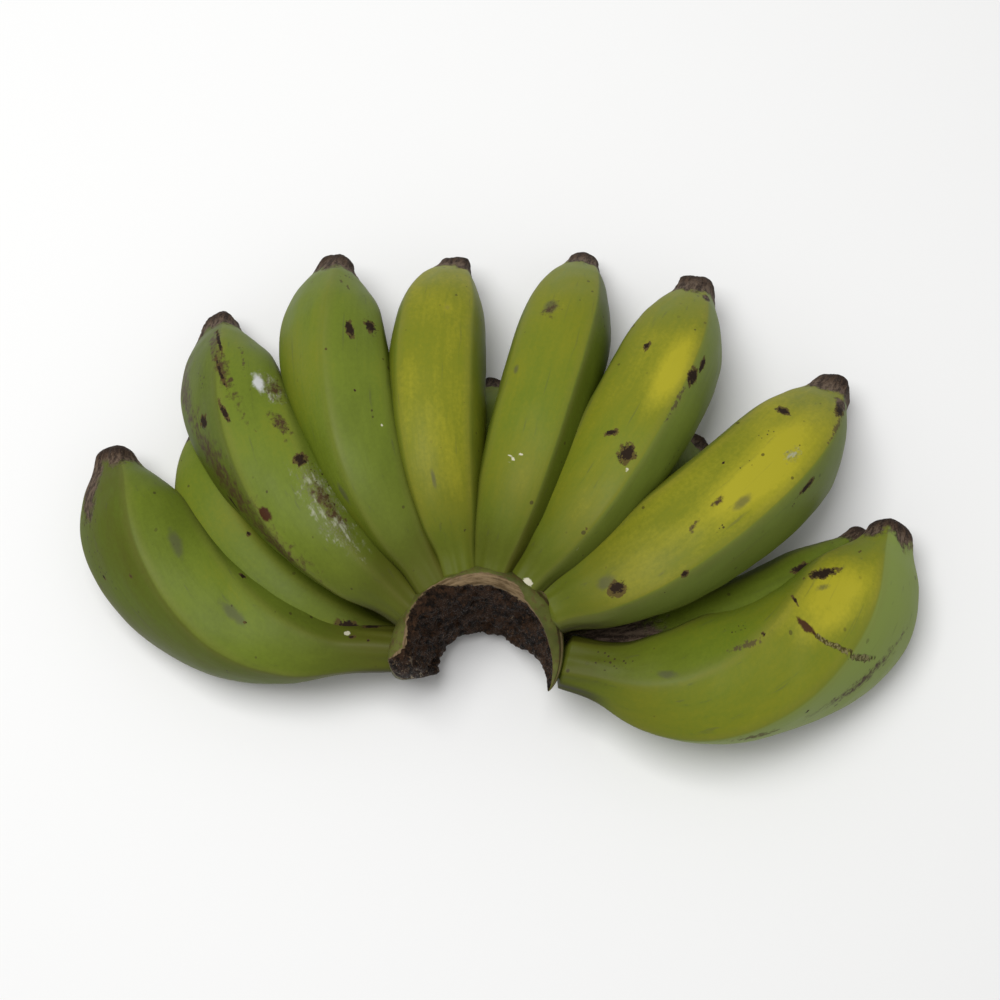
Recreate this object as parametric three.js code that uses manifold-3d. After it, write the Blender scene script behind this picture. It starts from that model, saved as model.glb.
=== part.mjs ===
// A hand of green cooking bananas, lying on a table with its outer row on top: a C-shaped crown,
// an upper row of eight fingers and a lower row of seven shorter ones in the gaps below it.
// Lengths are in millimetres and angles in degrees. +X runs along the fan of fingers, +Y runs from the
// crown to the middle tips, and +Z points up from the table.
import * as THREE from "three";
import { mergeVertices } from "three/addons/utils/BufferGeometryUtils.js";
import Module from "manifold-3d";

const CROWN_AT = new THREE.Vector2(-6.4, -72.9); // the middle of the crown's arc, seen from above
const CROWN_OUTER = 35; // radius of the side that the fingers grow from
const CROWN_INNER = 26; // radius of the cut side at the top
const CROWN_BOTTOM = 8;
const CROWN_TOP = 60;
const CROWN_FIRST_ANGLE = -16;
const CROWN_LAST_ANGLE = 183;
const CROWN_BEVEL = 3;
const CROWN_FALL = 12; // how much lower its top is where its arc faces +X or -X
const CROWN_RISE = 8; // and how much higher its bottom is there
const CUT_SLOPE = 9; // how far the cut side leans in towards the bottom
const TEAR_DEPTH = 0.9; // ripples of the torn cut

const FINGER_REACH = 28; // distance of a finger's root from the middle of the arc, inside the crown
const NECK_SHARE = 0.15; // share of a finger's length that is still straight after the root
const TIP_SHARE = 0.97; // share of a finger's length where it stops bending
const RIDGE_ANGLES = [-112.5, -45, 45, 112.5, 180];
const RIDGE_STRENGTH = 0.42; // 0 is a round finger and 1 has flat faces
const RIDGE_SHARPNESS = 12;
const AROUND = 16; // columns of a finger's surface
const ALONG = 17; // and its rows
const LINE_STEPS = 200; // steps in which a finger's middle line is walked

const GAP = 0.3; // clearance between neighbouring pieces
const FLOOR_SIDE = 1000;
const FLOOR_DEPTH = 100;
const WELD = 0.001; // vertices closer than this are one vertex

// How thick a finger is along its length: share of the length, of the half width and of the half depth.
const THICKNESS = [
  [0.0, 0.4, 0.38],
  [0.1, 0.46, 0.43],
  [0.2, 0.65, 0.7],
  [0.34, 0.84, 0.94],
  [0.5, 0.96, 1.0],
  [0.66, 1.0, 0.98],
  [0.77, 0.94, 0.88],
  [0.86, 0.71, 0.64],
  [0.92, 0.48, 0.42],
  [0.96, 0.38, 0.33],
  [1.0, 0.35, 0.3],
];

// Each finger grows from the crown at the angle `at` and the height `z`. It starts out in the direction
// `heading` (seen from above) and `rise`, and bends by `bend` in total. `lean` tips the plane of the bend
// over: 0 bends down to the table, -90 and 90 bend sideways. `twist` and `spiral` turn its ridges. `neck`
// over 1 gives it a longer neck.
const UPPER_ROW = [
  {
    at: 164, z: 26.9, heading: 181.1, rise: -2, lean: -88, bend: 81.5,
    length: 159.5, width: 47.5, depth: 49.5, twist: -18, spiral: -110, neck: 1.25,
  },
  {
    at: 142, z: 44, heading: 141, rise: 5, lean: -45, bend: 56.5,
    length: 164.5, width: 46, depth: 47.5, twist: 27, spiral: -120, neck: 0.91,
  },
  {
    at: 122, z: 49, heading: 121.7, rise: 8, lean: -39, bend: 53,
    length: 157.5, width: 43.5, depth: 46, twist: 20, spiral: -75, neck: 0.95,
  },
  {
    at: 105, z: 51, heading: 100.7, rise: 8, lean: -23.5, bend: 54,
    length: 150, width: 39, depth: 43, twist: -23.5, spiral: 0, neck: 0.88,
  },
  {
    at: 84, z: 51, heading: 73, rise: 8, lean: 4.5, bend: 55,
    length: 161.5, width: 39, depth: 42.5, twist: 16.5, spiral: 0, neck: 0.75,
  },
  {
    at: 62, z: 49, heading: 52, rise: 8, lean: 25.5, bend: 48.5,
    length: 160.5, width: 42, depth: 46, twist: 43.5, spiral: 10, neck: 0.82,
  },
  {
    at: 38, z: 45, heading: 25.7, rise: 7, lean: 38, bend: 53,
    length: 165.5, width: 47, depth: 51.5, twist: 51, spiral: 20, neck: 0.77,
  },
  {
    at: 8, z: 30.8, heading: -16.2, rise: -2, lean: 84, bend: 89,
    length: 165, width: 48, depth: 57, twist: 0, spiral: 130, neck: 1.07,
  },
];
const LOWER_ROW = [
  {
    at: 158, z: 20.5, heading: 165.5, rise: 0, lean: -82, bend: 78,
    length: 139, width: 38, depth: 39, twist: 10, spiral: 0, neck: 1,
  },
  {
    at: 134, z: 20, heading: 138, rise: 5, lean: -40, bend: 34,
    length: 104, width: 36, depth: 38, twist: -8, spiral: 0, neck: 1,
  },
  {
    at: 114, z: 20, heading: 112, rise: 5, lean: -20, bend: 32,
    length: 94, width: 36, depth: 38, twist: 14, spiral: 0, neck: 1,
  },
  {
    at: 94, z: 20, heading: 86, rise: 6, lean: 0, bend: 32,
    length: 94, width: 36, depth: 38, twist: 0, spiral: 0, neck: 1,
  },
  {
    at: 72, z: 20, heading: 66, rise: 6, lean: 0, bend: 32,
    length: 98, width: 36, depth: 38, twist: -12, spiral: 0, neck: 1,
  },
  {
    at: 50, z: 20, heading: 42, rise: 6, lean: 20, bend: 34,
    length: 104, width: 36, depth: 38, twist: 9, spiral: 0, neck: 1,
  },
  {
    at: 22, z: 17, heading: 0, rise: 2, lean: 77, bend: 48,
    length: 138, width: 34, depth: 34, twist: 12, spiral: 0, neck: 1,
  },
];

const wasm = await Module();
wasm.setup();
const { Manifold, Mesh } = wasm;

const radians = THREE.MathUtils.degToRad;

// A curve through one column of THICKNESS.
function thicknessCurve(column) {
  return new THREE.SplineCurve(THICKNESS.map((row) => new THREE.Vector2(row[column], row[0])));
}

const halfWidths = thicknessCurve(1).getPoints(ALONG);
const halfDepths = thicknessCurve(2).getPoints(ALONG);

// Ratio of a finger's depth to its width, at the row of THICKNESS's curve nearest to a share of the length.
function depthPerWidth(share) {
  let row = halfWidths.findIndex((point) => point.y >= share - WELD);
  if (row < 0) row = ALONG;
  return halfDepths[row].x / halfWidths[row].x;
}

// Radius factor of the ridged cross-section at an angle measured from the finger's back.
function ridgedRadius(angle) {
  let sum = 0;
  RIDGE_ANGLES.forEach((ridge, i) => {
    const next = i + 1 < RIDGE_ANGLES.length ? RIDGE_ANGLES[i + 1] : RIDGE_ANGLES[0] + 360;
    const middle = radians((ridge + next) / 2);
    const half = radians((next - ridge) / 2);
    const facing = Math.max(Math.cos(angle - middle), 0) / Math.cos(half);
    sum += Math.pow(facing, RIDGE_SHARPNESS);
  });
  const faceted = Math.pow(sum, 1 / RIDGE_SHARPNESS);
  return 1 / (1 - RIDGE_STRENGTH + RIDGE_STRENGTH * faceted);
}

// How far the finger has bent at a share of its length, in radians.
function bendAt(finger, share) {
  const bent = THREE.MathUtils.clamp((share - NECK_SHARE) / (TIP_SHARE - NECK_SHARE), 0, 1);
  return radians(finger.bend) * bent;
}

// The middle line of a finger, starting along +X and bending towards -Z, in LINE_STEPS steps.
function middleLine(finger) {
  const points = [new THREE.Vector3()];
  for (let i = 0; i < LINE_STEPS; i++) {
    const angle = bendAt(finger, (i + 0.5) / LINE_STEPS);
    const step = new THREE.Vector3(Math.cos(angle), 0, -Math.sin(angle));
    points.push(points[i].clone().addScaledVector(step, finger.length / LINE_STEPS));
  }
  return points;
}

// The direction and place in which a finger leaves the crown.
function fingerPlace(finger) {
  const lean = new THREE.Matrix4().makeRotationX(radians(finger.lean));
  const rise = new THREE.Matrix4().makeRotationY(radians(-finger.rise));
  const heading = new THREE.Matrix4().makeRotationZ(radians(finger.heading));
  const at = radians(finger.at);
  const place = new THREE.Matrix4().makeTranslation(
    CROWN_AT.x + FINGER_REACH * Math.cos(at),
    CROWN_AT.y + FINGER_REACH * Math.sin(at),
    finger.z,
  );
  return place.multiply(heading).multiply(rise).multiply(lean);
}

// One finger: a lathed banana whose vertices are moved onto its bent middle line. `grow` thickens it.
function fingerGeometry(finger, grow) {
  const root = new THREE.Vector2(0, 0);
  const tip = new THREE.Vector2(0, 1);
  const lathe = new THREE.LatheGeometry([root, ...halfWidths, tip], AROUND);
  const position = lathe.getAttribute("position");
  const line = middleLine(finger);
  for (let i = 0; i < position.count; i++) {
    const station = THREE.MathUtils.clamp(position.getY(i), 0, 1);
    const share = Math.pow(station, 1 / finger.neck);
    const radius = Math.hypot(position.getX(i), position.getZ(i));
    const ridgeAngle = Math.atan2(-position.getX(i), position.getZ(i));
    const angle = ridgeAngle + radians(finger.twist + finger.spiral * (share - 0.5));
    const thickness = radius * ridgedRadius(ridgeAngle);
    const solid = radius > 0 ? 1 : 0;
    const up = Math.cos(angle) * ((thickness * depthPerWidth(station) * finger.depth) / 2 + grow * solid);
    const side = Math.sin(angle) * ((thickness * finger.width) / 2 + grow * solid);
    const bend = bendAt(finger, share);
    const middle = line[Math.round(share * LINE_STEPS)];
    position.setXYZ(
      i,
      middle.x + up * Math.sin(bend),
      middle.y + side,
      middle.z + up * Math.cos(bend),
    );
  }
  return lathe.applyMatrix4(fingerPlace(finger));
}

// The outline of the crown from above, an arc with rounded ends, grown by `grow` all round.
function crownOutline(grow) {
  const outer = CROWN_OUTER - CROWN_BEVEL + grow;
  const inner = CROWN_INNER + CROWN_BEVEL - grow;
  const first = radians(CROWN_FIRST_ANGLE);
  const last = radians(CROWN_LAST_ANGLE);
  const outline = new THREE.Shape();
  outline.absarc(0, 0, outer, first, last, false);
  outline.absarc(0, 0, inner, last, first, true);
  return outline;
}

// How far a torn cut stands out or in at an angle and a height.
function tear(angle, height) {
  return TEAR_DEPTH * (Math.sin(angle * 9 + height * 0.11) + 0.5 * Math.sin(angle * 23 - height * 0.3));
}

// The crown: the arc extruded to its height, with the cut side leaning in towards the bottom.
function crownGeometry(grow) {
  const geometry = new THREE.ExtrudeGeometry(crownOutline(grow), {
    depth: CROWN_TOP - CROWN_BOTTOM - 2 * CROWN_BEVEL + 2 * grow,
    steps: 4,
    curveSegments: 18,
    bevelThickness: CROWN_BEVEL,
    bevelSize: CROWN_BEVEL,
    bevelSegments: 2,
  });
  const position = geometry.getAttribute("position");
  for (let i = 0; i < position.count; i++) {
    const x = position.getX(i);
    const y = position.getY(i);
    const z = position.getZ(i) + CROWN_BOTTOM + CROWN_BEVEL - grow;
    const radius = Math.hypot(x, y);
    const angle = Math.atan2(y, x);
    const cutSide = THREE.MathUtils.clamp((CROWN_OUTER - radius) / (CROWN_OUTER - CROWN_INNER), 0, 1);
    const depth = THREE.MathUtils.clamp((CROWN_TOP - z) / (CROWN_TOP - CROWN_BOTTOM), 0, 1);
    const moved = radius - cutSide * (CUT_SLOPE * depth + tear(angle, z));
    const sideways = 1 - Math.sin(angle);
    const height = z - CROWN_FALL * sideways * (1 - depth) + CROWN_RISE * sideways * depth;
    position.setXYZ(i, CROWN_AT.x + (x * moved) / radius, CROWN_AT.y + (y * moved) / radius, height);
  }
  return geometry;
}

// A closed three.js geometry as a manifold-3d solid.
function solidOf(geometry) {
  const bare = geometry.clone();
  bare.deleteAttribute("normal");
  bare.deleteAttribute("uv");
  const merged = mergeVertices(bare, WELD);
  return new Manifold(
    new Mesh({
      numProp: 3,
      vertProperties: merged.getAttribute("position").array,
      triVerts: new Uint32Array(merged.index.array),
    }),
  );
}

// A manifold-3d solid as a three.js geometry.
function geometryOf(solid) {
  const mesh = solid.getMesh();
  const geometry = new THREE.BufferGeometry();
  geometry.setAttribute("position", new THREE.BufferAttribute(mesh.vertProperties, 3));
  geometry.setIndex(new THREE.BufferAttribute(mesh.triVerts, 1));
  geometry.computeVertexNormals();
  return geometry;
}

// The largest body of a solid, so that no sliver of a cut is left over.
function largest(solid) {
  const bodies = solid.decompose();
  bodies.sort((a, b) => b.volume() - a.volume());
  return bodies[0];
}

// The flat floor that the hand rests on, as a slab below z = 0.
function floorSolid() {
  const slab = new THREE.BoxGeometry(FLOOR_SIDE, FLOOR_SIDE, FLOOR_DEPTH);
  slab.translate(0, 0, -FLOOR_DEPTH / 2);
  return solidOf(slab);
}

function addPiece(group, name, solid, colour, roughness) {
  const material = new THREE.MeshStandardMaterial({ color: colour, roughness, metalness: 0 });
  const mesh = new THREE.Mesh(geometryOf(solid), material);
  mesh.name = name;
  group.add(mesh);
}

// Every finger keeps a small gap to the crown and to the fingers made before it, and where it lies on the
// floor it is pressed flat.
function makeHand() {
  const hand = new THREE.Group();
  addPiece(hand, "crown", solidOf(crownGeometry(0)), 0x3a2a1c, 0.9);
  const cutters = [solidOf(crownGeometry(GAP)), floorSolid()];
  const rows = [
    { name: "upper_finger_", fingers: UPPER_ROW, colour: 0x7f8a32 },
    { name: "lower_finger_", fingers: LOWER_ROW, colour: 0x6f7a26 },
  ];
  for (const row of rows) {
    row.fingers.forEach((finger, i) => {
      let solid = solidOf(fingerGeometry(finger, 0));
      for (const cutter of cutters) solid = solid.subtract(cutter);
      addPiece(hand, row.name + (i + 1), largest(solid), row.colour, 0.45);
      cutters.push(solidOf(fingerGeometry(finger, GAP)));
    });
  }
  return hand;
}

export default makeHand();
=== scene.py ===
"""Looks of a hand of green cooking bananas: ridged waxy fingers with dried tips, growing from a torn crown.

Lengths are in millimetres until a mesh is made, and angles in degrees. +X runs along the fan of fingers,
+Y from the crown to the middle tips, and +Z up from the table.
"""

import bpy
import numpy as np
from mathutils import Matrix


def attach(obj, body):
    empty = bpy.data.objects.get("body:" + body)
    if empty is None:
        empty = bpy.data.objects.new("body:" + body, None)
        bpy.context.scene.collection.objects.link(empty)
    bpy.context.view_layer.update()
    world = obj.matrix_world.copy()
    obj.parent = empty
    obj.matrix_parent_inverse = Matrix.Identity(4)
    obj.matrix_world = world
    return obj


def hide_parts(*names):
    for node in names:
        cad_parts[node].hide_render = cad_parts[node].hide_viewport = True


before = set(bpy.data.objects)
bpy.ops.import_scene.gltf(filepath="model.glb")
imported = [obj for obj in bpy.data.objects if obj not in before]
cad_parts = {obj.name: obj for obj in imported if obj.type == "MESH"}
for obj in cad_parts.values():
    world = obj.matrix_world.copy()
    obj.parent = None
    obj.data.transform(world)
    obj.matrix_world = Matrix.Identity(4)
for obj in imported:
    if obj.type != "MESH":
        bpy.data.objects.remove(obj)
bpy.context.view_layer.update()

MM = 0.001

# ---------------------------------------------------------------- sizes and shapes

CROWN_AT = np.array([-6.4, -72.9])
FINGER_REACH = 28.0
NECK_SHARE, TIP_SHARE = 0.15, 0.97
RIDGES = np.array([-112.5, -45.0, 45.0, 112.5, 180.0])
NEXT_RIDGES = np.append(RIDGES[1:], RIDGES[0] + 360)
FACE_MIDDLES = np.radians((RIDGES + NEXT_RIDGES) / 2)
FACE_HALVES = np.radians((NEXT_RIDGES - RIDGES) / 2)
RIDGE_STRENGTH, RIDGE_SHARPNESS, RIDGE_SPREAD = 0.42, 22, 22
FACE_SHARPNESS = 110
ROWS_ALONG, COLUMNS_AROUND = 160, 150
PROFILE_STEPS, LINE_STEPS = 400, 400

# A finger's skin starts at this share of its length. Two sine waves draw its rows together at the ends and the
# middle of the finger.
FIRST_SHARE = 0.026
ROW_SWING, ROW_SECOND_SWING = 0.055, 0.035

# Each pair is the height of the lumps and their size.
LUMPS, SMALL_LUMPS = (0.35, 17.0), (0.16, 7.0)
CRUMPLE, FINE_CRUMPLE = (0.45, 2.6), (0.25, 1.3)
NECK_FOLD_HEIGHT, NECK_FOLD_COUNT = 0.16, 11
STUB_HEIGHT, STUB_SINK = 0.5, 1.2
DOME_FROM, DOME_DROP, DOME_POWER = 0.962, 0.84, 2.4
CHANCE_MARKS = 12

# share of the length, of the half width and of the half depth
THICKNESS = np.array([
    [0.0, 0.4, 0.38],
    [0.1, 0.46, 0.43],
    [0.2, 0.65, 0.7],
    [0.34, 0.84, 0.94],
    [0.5, 0.96, 1.0],
    [0.66, 1.0, 0.98],
    [0.77, 0.94, 0.88],
    [0.86, 0.71, 0.64],
    [0.92, 0.48, 0.42],
    [0.96, 0.38, 0.33],
    [1.0, 0.35, 0.3],
])

# Ripeness of the five faces between the ridges: back, left side, left belly, right belly, right side.
# -1 is dark olive, 0 is fresh green and 1 is yellow. pale is the paler bloom on the same faces.
# A mark is (kind, share of the length, angle from the upper line of the finger, length along it, width
# across it, tilt). Positive angles lie to the left, looking from the crown to the tip.
UPPER_ROW = [
    dict(
        at=164, z=26.9, heading=181.1, rise=-2, lean=-88, bend=81.5, length=159.5, width=47.5, depth=49.5,
        neck=1.25, twist=-18, spiral=-110, cap=0.93,
        ripe=(-0.5, -0.5, -0.4, -0.2, -0.12), pale=(0.0, 0.0, 0.0, 0.1, 0.06),
        marks=[
            ("dry", 0.9, 52, 30, 13, 0), ("speck", 0.84, 50, 34, 16, 0), ("bruise", 0.65, -27, 18, 7, -20),
            ("scab", 0.455, -48, 4, 3.4, 0), ("bruise", 0.42, -6, 17, 6, -15),
            ("scab", 0.385, -3, 2, 1.2, 0), ("scab", 0.66, 28, 1.8, 1.6, 0), ("scab", 0.71, 66, 2, 1.6, 0),
            ("speck", 0.4, 62, 12, 6, 0), ("sap", 0.145, -33, 2.6, 3, 0), ("scab", 0.135, -22, 3, 2.4, 0),
            ("scab", 0.09, -62, 8, 3.4, 0), ("scab", 0.095, -12, 1.6, 1.6, 0), ("scab", 0.83, 86, 7, 4, 0),
            ("speck", 0.75, 60, 30, 12, 0),
        ],
    ),
    dict(
        at=142, z=44, heading=141, rise=5, lean=-45, bend=56.5, length=164.5, width=46, depth=47.5,
        neck=0.91, twist=27, spiral=-120, cap=0.9,
        ripe=(-0.35, -0.4, -0.3, -0.2, -0.04), pale=(0.0, 0.0, 0.0, 0.1, 0.08),
        marks=[
            ("speck", 0.76, 66, 56, 22, 0), ("scab", 0.8, -9, 24, 1.8, 0), ("scab", 0.7, -1, 24, 1.6, 0),
            ("scab", 0.6, 11, 12, 2.4, 0), ("rust", 0.74, -4, 62, 6, 0), ("scab", 0.63, 42, 7, 7, 20),
            ("rust", 0.5, 60, 74, 20, 0), ("rust", 0.33, 60, 36, 15, 0), ("rust", 0.75, 64, 50, 14, 0),
            # The glossy patch in this list carries a painted highlight.
            ("red", 0.375, 36, 6, 6, 0), ("gloss_with_painted_highlight", 0.645, -33, 11, 6, 0), ("scuff", 0.625, -42, 18, 13, 0),
            ("rust", 0.62, -46, 15, 10, 0), ("rust", 0.52, -32, 15, 6, 0), ("speck", 0.5, -30, 14, 6, 0),
            ("scab", 0.42, -27, 6, 7, 20), ("scuff", 0.34, -24, 32, 15, 0), ("scuff", 0.26, -12, 28, 13, 0),
            ("rust", 0.31, -21, 24, 7, 0), ("speck", 0.37, -34, 18, 7, 0), ("speck", 0.3, -27, 14, 6, 0),
            ("rough", 0.72, -28, 14, 1.3, -14), ("scab", 0.47, 84, 10, 4, 0),
            ("speck", 0.72, 25, 20, 10, 0),
        ],
    ),
    dict(
        at=122, z=49, heading=121.7, rise=8, lean=-39, bend=53, length=157.5, width=43.5, depth=46,
        neck=0.95, twist=20, spiral=-75, cap=0.88,
        ripe=(0.02, -0.1, -0.3, -0.2, -0.08), pale=(0.0, 0.0, 0.0, 0.0, 0.12),
        marks=[
            ("dry", 0.93, -5, 12, 11, 0), ("scab", 0.65, -24, 9, 4.4, 0), ("scab", 0.67, -50, 8, 6, 0),
            ("rough", 0.81, -22, 6, 1.3, 0), ("rough", 0.79, -30, 5, 1.2, 0),
            ("scab", 0.49, -15, 1.6, 1.4, 0), ("sap", 0.4, -32, 1.3, 1.3, 0), ("bruise", 0.3, 46, 10, 5, 0),
            ("scab", 0.6, 4, 1.2, 1.2, 0), ("speck", 0.86, -40, 10, 8, 0),
        ],
    ),
    dict(
        at=105, z=51, heading=100.7, rise=8, lean=-23.5, bend=54, length=150, width=39, depth=43,
        neck=0.88, twist=-23.5, spiral=0, cap=0.89,
        ripe=(0.4, 0.15, -0.2, -0.2, 0.2), pale=(0.0, 0.0, 0.0, 0.0, 0.05),
        marks=[
            ("ring", 0.68, -14, 8, 8, 0), ("bruise", 0.68, -14, 3, 3, 0), ("bruise", 0.25, 10, 8, 3, 0),
        ],
    ),
    dict(
        at=84, z=51, heading=73, rise=8, lean=4.5, bend=55, length=161.5, width=39, depth=42.5,
        neck=0.75, twist=16.5, spiral=0, cap=0.885,
        ripe=(0.25, 0.1, -0.2, -0.3, -0.35), pale=(0.0, 0.0, 0.0, 0.0, 0.0),
        marks=[
            ("rust", 0.635, 22, 9, 9, 0), ("bruise", 0.645, 24, 10, 9, 0), ("bruise", 0.47, 45, 5, 3, 0),
            ("sap", 0.28, 6, 1.0, 5, 20), ("sap", 0.265, 16, 1.0, 5, 30), ("sap", 0.275, 24, 0.9, 4, -10),
        ],
    ),
    dict(
        at=62, z=49, heading=52, rise=8, lean=25.5, bend=48.5, length=160.5, width=42, depth=46,
        neck=0.82, twist=43.5, spiral=10, cap=0.885,
        ripe=(0.3, 0.02, -0.2, -0.2, -0.1), pale=(0.0, 0.0, 0.0, 0.1, 0.3),
        marks=[
            ("scab", 0.635, 32, 5.5, 3.4, 0), ("scab", 0.375, -11, 8, 8, 0),
            ("sap", 0.345, -21, 1.8, 1.8, 0), ("scab", 0.4, 18, 3, 7, 25), ("scab", 0.6, -31, 9, 6, 0),
            ("rough", 0.53, -28, 16, 2.2, 0), ("scab", 0.645, -37, 8, 3, 0), ("speck", 0.47, -74, 14, 4, 0),
            ("scab", 0.2, -25, 1.4, 1.2, 0), ("sap", 0.16, -36, 1.2, 1.2, 0), ("sun", 0.6, -8, 44, 15, 0),
            ("dry", 0.93, -12, 15, 11, 0), ("dry", 0.865, -20, 7, 4, 0), ("sap", 0.035, -12, 3, 5, 0),
        ],
    ),
    dict(
        at=38, z=45, heading=25.7, rise=7, lean=38, bend=53, length=165.5, width=47, depth=51.5,
        neck=0.77, twist=51, spiral=20, cap=0.885,
        ripe=(0.45, 0.15, -0.1, -0.3, -0.3), pale=(0.0, 0.0, 0.0, 0.0, 0.3),
        marks=[
            ("scab", 0.72, 36, 5, 8, 0), ("speck", 0.63, 28, 12, 5, 0), ("speck", 0.54, 18, 6, 6, 0),
            ("scab", 0.51, 35, 1.8, 1.6, 0), ("bruise", 0.475, -10, 11, 5, 0),
            ("speck", 0.41, -22, 9, 6, 0), ("scab", 0.61, -40, 12, 3, 5), ("speck", 0.55, -44, 14, 5, 0),
            ("scab", 0.835, -20, 11, 4.5, 0), ("rough", 0.77, -25, 18, 2, 0), ("scab", 0.3, -36, 3, 3, 0),
            ("scab", 0.25, -45, 1.6, 1.4, 0), ("scab", 0.175, -17, 7, 7, 20), ("bruise", 0.16, -4, 9, 8, 0),
            ("scuff", 0.63, -8, 10, 6, 0), ("sun", 0.55, 0, 76, 24, 0), ("dry", 0.865, -22, 9, 8, 0),
            ("ring", 0.46, 8, 12, 8, 0), ("rust", 0.44, 6, 7, 4, 0), ("rust", 0.37, 0, 8, 3, 20),
        ],
    ),
    dict(
        at=8, z=30.8, heading=-16.2, rise=-2, lean=84, bend=89, length=165, width=48, depth=57,
        neck=1.07, twist=0, spiral=130, cap=0.93,
        ripe=(-0.05, 0.26, 0.05, -0.2, -0.3), pale=(0.9, 0.0, 0.0, 0.0, 0.1),
        marks=[
            ("scab", 0.735, 47, 15, 6.5, -25), ("bruise", 0.7, 36, 8, 4, -20),
            ("scab", 0.615, 40, 1.8, 7, -15), ("red", 0.592, 17, 4, 10, 12), ("cork", 0.605, 2, 2.2, 9, 20),
            ("cork", 0.63, -14, 2.4, 14, 30), ("cork", 0.66, -34, 3, 16, 35), ("rust", 0.65, -62, 44, 8, 0),
            ("rough", 0.44, 22, 15, 3, 0), ("scab", 0.49, 26, 2.2, 2, 0), ("speck", 0.44, 43, 18, 8, 0),
            ("speck", 0.13, 16, 20, 10, 0), ("rough", 0.42, -63, 16, 5, 0), ("scab", 0.52, -50, 2, 2, 0),
            ("bruise", 0.25, 5, 10, 4, 0), ("sun", 0.7, 26, 56, 28, 0), ("sun", 0.73, 20, 36, 20, 0),
            ("sun", 0.66, 12, 40, 18, 0), ("scab", 0.86, 40, 2.4, 1.4, 0),
        ],
    ),
]
LOWER_ROW = [
    dict(at=158, z=20.5, heading=165.5, rise=0, lean=-82, bend=78, length=139, width=38, depth=39, twist=10,
         ripe=(0.15, 0.1, 0.0, 0.0, 0.0)),
    dict(at=134, z=20, heading=138, rise=5, lean=-40, bend=34, length=104, width=36, depth=38, twist=-8),
    dict(at=114, z=20, heading=112, rise=5, lean=-20, bend=32, length=94, width=36, depth=38, twist=14),
    dict(at=94, z=20, heading=86, rise=6, lean=0, bend=32, length=94, width=36, depth=38, twist=0),
    dict(at=72, z=20, heading=66, rise=6, lean=0, bend=32, length=98, width=36, depth=38, twist=-12),
    dict(at=50, z=20, heading=42, rise=6, lean=20, bend=34, length=104, width=36, depth=38, twist=9),
    dict(at=22, z=17, heading=0, rise=2, lean=77, bend=48, length=138, width=34, depth=34, twist=12,
         # A dark brown patch in the dried-tip colours on top of this neck near the root, where it shows between
         # upper fingers 7 and 8.
         marks=[("dry", 0.17, 5, 46, 40, 0)]),
]
PLAIN_LOOK = dict(spiral=0, neck=1, cap=0.9, ripe=(0.0, -0.1, -0.2, -0.2, -0.1), pale=(0.0,) * 5, marks=[])

MARK_KINDS = (
    "sun", "bruise", "speck", "scab", "rough", "red", "scuff", "cork", "sap", "gloss_with_painted_highlight", "dry", "rust", "ring",
)


# ---------------------------------------------------------------- surfaces

def smooth_step(value, low, high):
    """0 below low, 1 above high, and a cubic ease in between."""
    t = np.clip((value - low) / (high - low), 0, 1)
    return t * t * (3 - 2 * t)


def lattice_noise(points, cell, seed):
    """Smooth random values from -1 to 1: a random number at each corner of a cubic lattice, with cells of
    the given size, blended between the corners with a cubic ease."""
    table = np.random.default_rng(seed).uniform(-1, 1, 4096)
    place = points / cell
    corner = np.floor(place).astype(np.int64)
    ease = place - corner
    ease = ease * ease * (3 - 2 * ease)
    total = np.zeros(points.shape[:-1])
    for offset in np.ndindex(2, 2, 2):
        index = corner + np.array(offset)
        mixed = (index[..., 0] * 73856093) ^ (index[..., 1] * 19349663) ^ (index[..., 2] * 83492791)
        weight = np.prod(np.where(np.array(offset) == 1, ease, 1 - ease), axis=-1)
        total += weight * table[mixed % 4096]
    return total


def spline_table(points, count):
    """Points along a Catmull-Rom curve through the given points: each span is the cubic whose end slopes are
    half the step between the neighbours on both sides."""
    spans = len(points) - 1
    t = np.linspace(0, spans, count)
    i = np.minimum(t.astype(int), spans - 1)
    w = (t - i)[:, None]
    before, start = points[np.maximum(i - 1, 0)], points[i]
    end, after = points[i + 1], points[np.minimum(i + 2, spans)]
    slope_in, slope_out = (end - before) / 2, (after - start) / 2
    cubic = (2 * start - 2 * end + slope_in + slope_out) * w**3
    square = (-3 * start + 3 * end - 2 * slope_in - slope_out) * w**2
    return cubic + square + slope_in * w + start


def turn_matrix(heading, rise, lean):
    """Turns +X to a heading and a rise, after tipping everything round +X by the lean."""
    h, r, t = np.radians([heading, -rise, lean])
    about_z = np.array([[np.cos(h), -np.sin(h), 0], [np.sin(h), np.cos(h), 0], [0, 0, 1]])
    about_y = np.array([[np.cos(r), 0, np.sin(r)], [0, 1, 0], [-np.sin(r), 0, np.cos(r)]])
    about_x = np.array([[1, 0, 0], [0, np.cos(t), -np.sin(t)], [0, np.sin(t), np.cos(t)]])
    return about_z @ about_y @ about_x


def grid_faces(rows, columns):
    """Quads of a tube of rows times columns points, closed round the columns, with a fan of triangles from the
    last two points of the mesh to its first and last row."""
    row, column = np.meshgrid(np.arange(rows - 1), np.arange(columns), indexing="ij")
    following = (column + 1) % columns
    quads = np.stack([
        row * columns + column,
        row * columns + following,
        (row + 1) * columns + following,
        (row + 1) * columns + column,
    ], axis=-1).reshape(-1, 4)
    around = np.arange(columns)
    after = (around + 1) % columns
    first, last = rows * columns, rows * columns + 1
    start_fan = np.stack([after, around, np.full(columns, first)], axis=-1)
    top = (rows - 1) * columns
    end_fan = np.stack([top + around, top + after, np.full(columns, last)], axis=-1)
    return quads, np.concatenate([start_fan, end_fan])


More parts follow.
